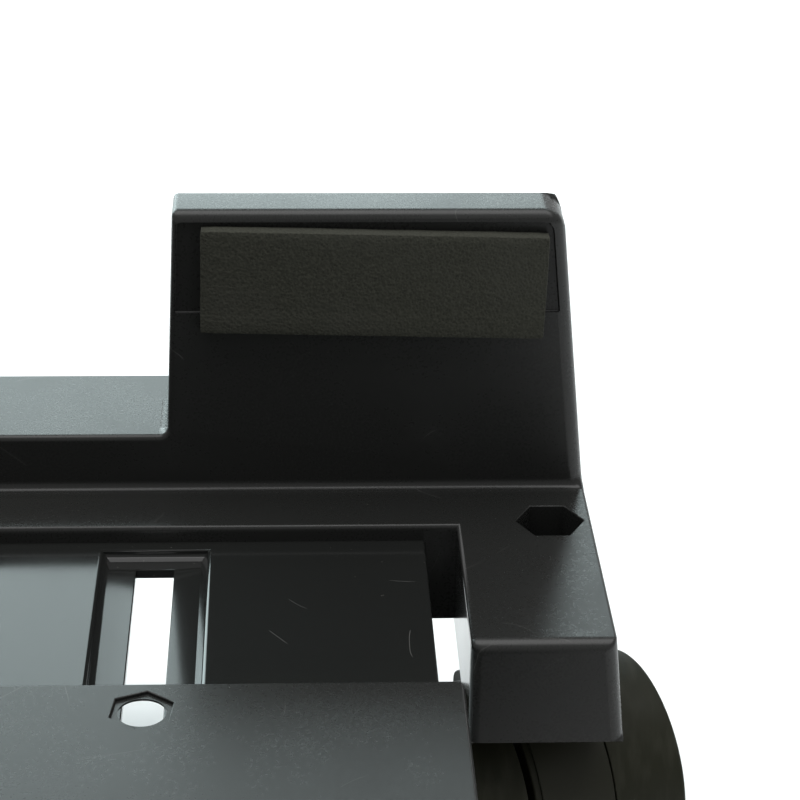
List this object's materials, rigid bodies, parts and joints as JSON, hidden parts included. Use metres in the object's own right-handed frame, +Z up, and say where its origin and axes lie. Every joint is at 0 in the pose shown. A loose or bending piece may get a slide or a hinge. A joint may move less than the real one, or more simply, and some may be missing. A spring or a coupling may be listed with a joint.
{
  "type": "adjustable computer tower stand",
  "caption": "Black plastic stand on twin-wheel casters whose two halves slide together on a slotted tongue to hold a computer tower between padded corner uprights.",
  "frame": {"origin": "on the floor, under the middle of the stand at its drawn width", "axes": "+X along the tower, +Y towards the rear half, +Z up"},
  "size_m": [0.3974, 0.2834, 0.1447],
  "materials": {
    "moulding": "fine spark-eroded grain, polished on the tongue",
    "foam": "closed-cell foam, matt, fine cells",
    "caster_plastic": "satin nylon",
    "wheel_plastic": "matt nylon, lightly scuffed and dusty",
    "steel": "zinc plated"
  },
  "bodies": {
    "rear_half": {"rear_half": "moulding", "foam_pad_rear_right": "foam", "foam_pad_rear_left": "foam", "stem_socket_rear_right": "steel", "stem_socket_rear_left": "steel"},
    "front_half": {"front_half": "moulding", "foam_pad_front_right": "foam", "foam_pad_front_left": "foam", "stem_socket_front_right": "steel", "stem_socket_front_left": "steel", "lock_bolt": "steel", "lock_washer": "steel"},
    "lock_knob": {"lock_knob": "moulding"},
    "caster_rear_right": {"caster_body_rear_right": "caster_plastic", "stem_rear_right": "steel", "axle_rear_right": "steel"},
    "outer_wheel_rear_right": {"outer_wheel_rear_right": "wheel_plastic"},
    "inner_wheel_rear_right": {"inner_wheel_rear_right": "wheel_plastic"},
    "caster_rear_left": {"caster_body_rear_left": "caster_plastic", "stem_rear_left": "steel", "axle_rear_left": "steel"},
    "outer_wheel_rear_left": {"outer_wheel_rear_left": "wheel_plastic"},
    "inner_wheel_rear_left": {"inner_wheel_rear_left": "wheel_plastic"},
    "caster_front_right": {"caster_body_front_right": "caster_plastic", "stem_front_right": "steel", "axle_front_right": "steel", "brake_pin_front_right": "steel"},
    "outer_wheel_front_right": {"outer_wheel_front_right": "wheel_plastic"},
    "inner_wheel_front_right": {"inner_wheel_front_right": "wheel_plastic"},
    "brake_lever_front_right": {"brake_lever_front_right": "caster_plastic"},
    "caster_front_left": {"caster_body_front_left": "caster_plastic", "stem_front_left": "steel", "axle_front_left": "steel", "brake_pin_front_left": "steel"},
    "outer_wheel_front_left": {"outer_wheel_front_left": "wheel_plastic"},
    "inner_wheel_front_left": {"inner_wheel_front_left": "wheel_plastic"},
    "brake_lever_front_left": {"brake_lever_front_left": "caster_plastic"}
  },
  "joints": [
    {"name": "width_slide", "type": "slide", "parent": "rear_half", "child": "front_half", "axis": [0, 1, 0], "range_m": [-0.04, 0.06]},
    {"name": "knob_turn", "type": "hinge", "parent": "front_half", "child": "lock_knob", "pos_m": [-0.0854, 0.0203, 0.06], "axis": [0, 0, 1], "continuous": true},
    {"name": "swivel_rear_right", "type": "hinge", "parent": "rear_half", "child": "caster_rear_right", "pos_m": [0.1611, 0.0876, 0.055], "axis": [0, 0, 1], "continuous": true},
    {"name": "outer_roll_rear_right", "type": "hinge", "parent": "caster_rear_right", "child": "outer_wheel_rear_right", "pos_m": [0.16726, 0.07069, 0.025], "axis": [0.9397, 0.342, 0], "continuous": true},
    {"name": "inner_roll_rear_right", "type": "hinge", "parent": "caster_rear_right", "child": "inner_wheel_rear_right", "pos_m": [0.16726, 0.07069, 0.025], "axis": [0.9397, 0.342, 0], "continuous": true},
    {"name": "swivel_rear_left", "type": "hinge", "parent": "rear_half", "child": "caster_rear_left", "pos_m": [-0.1611, 0.0876, 0.055], "axis": [0, 0, 1], "continuous": true},
    {"name": "outer_roll_rear_left", "type": "hinge", "parent": "caster_rear_left", "child": "outer_wheel_rear_left", "pos_m": [-0.16726, 0.07069, 0.025], "axis": [0.9397, -0.342, 0], "continuous": true},
    {"name": "inner_roll_rear_left", "type": "hinge", "parent": "caster_rear_left", "child": "inner_wheel_rear_left", "pos_m": [-0.16726, 0.07069, 0.025], "axis": [0.9397, -0.342, 0], "continuous": true},
    {"name": "swivel_front_right", "type": "hinge", "parent": "front_half", "child": "caster_front_right", "pos_m": [0.1611, -0.0876, 0.055], "axis": [0, 0, 1], "continuous": true},
    {"name": "outer_roll_front_right", "type": "hinge", "parent": "caster_front_right", "child": "outer_wheel_front_right", "pos_m": [0.16361, -0.10543, 0.025], "axis": [0.9903, 0.1392, 0], "continuous": true},
    {"name": "inner_roll_front_right", "type": "hinge", "parent": "caster_front_right", "child": "inner_wheel_front_right", "pos_m": [0.16361, -0.10543, 0.025], "axis": [0.9903, 0.1392, 0], "continuous": true},
    {"name": "brake_front_right", "type": "hinge", "parent": "caster_front_right", "child": "brake_lever_front_right", "pos_m": [0.1604, -0.08265, 0.021], "axis": [0.9903, 0.1392, 0], "range_deg": [-14, 0]},
    {"name": "swivel_front_left", "type": "hinge", "parent": "front_half", "child": "caster_front_left", "pos_m": [-0.1611, -0.0876, 0.055], "axis": [0, 0, 1], "continuous": true},
    {"name": "outer_roll_front_left", "type": "hinge", "parent": "caster_front_left", "child": "outer_wheel_front_left", "pos_m": [-0.16361, -0.10543, 0.025], "axis": [0.9903, -0.1392, 0], "continuous": true},
    {"name": "inner_roll_front_left", "type": "hinge", "parent": "caster_front_left", "child": "inner_wheel_front_left", "pos_m": [-0.16361, -0.10543, 0.025], "axis": [0.9903, -0.1392, 0], "continuous": true},
    {"name": "brake_front_left", "type": "hinge", "parent": "caster_front_left", "child": "brake_lever_front_left", "pos_m": [-0.1604, -0.08265, 0.021], "axis": [0.9903, -0.1392, 0], "range_deg": [-14, 0]}
  ]
}
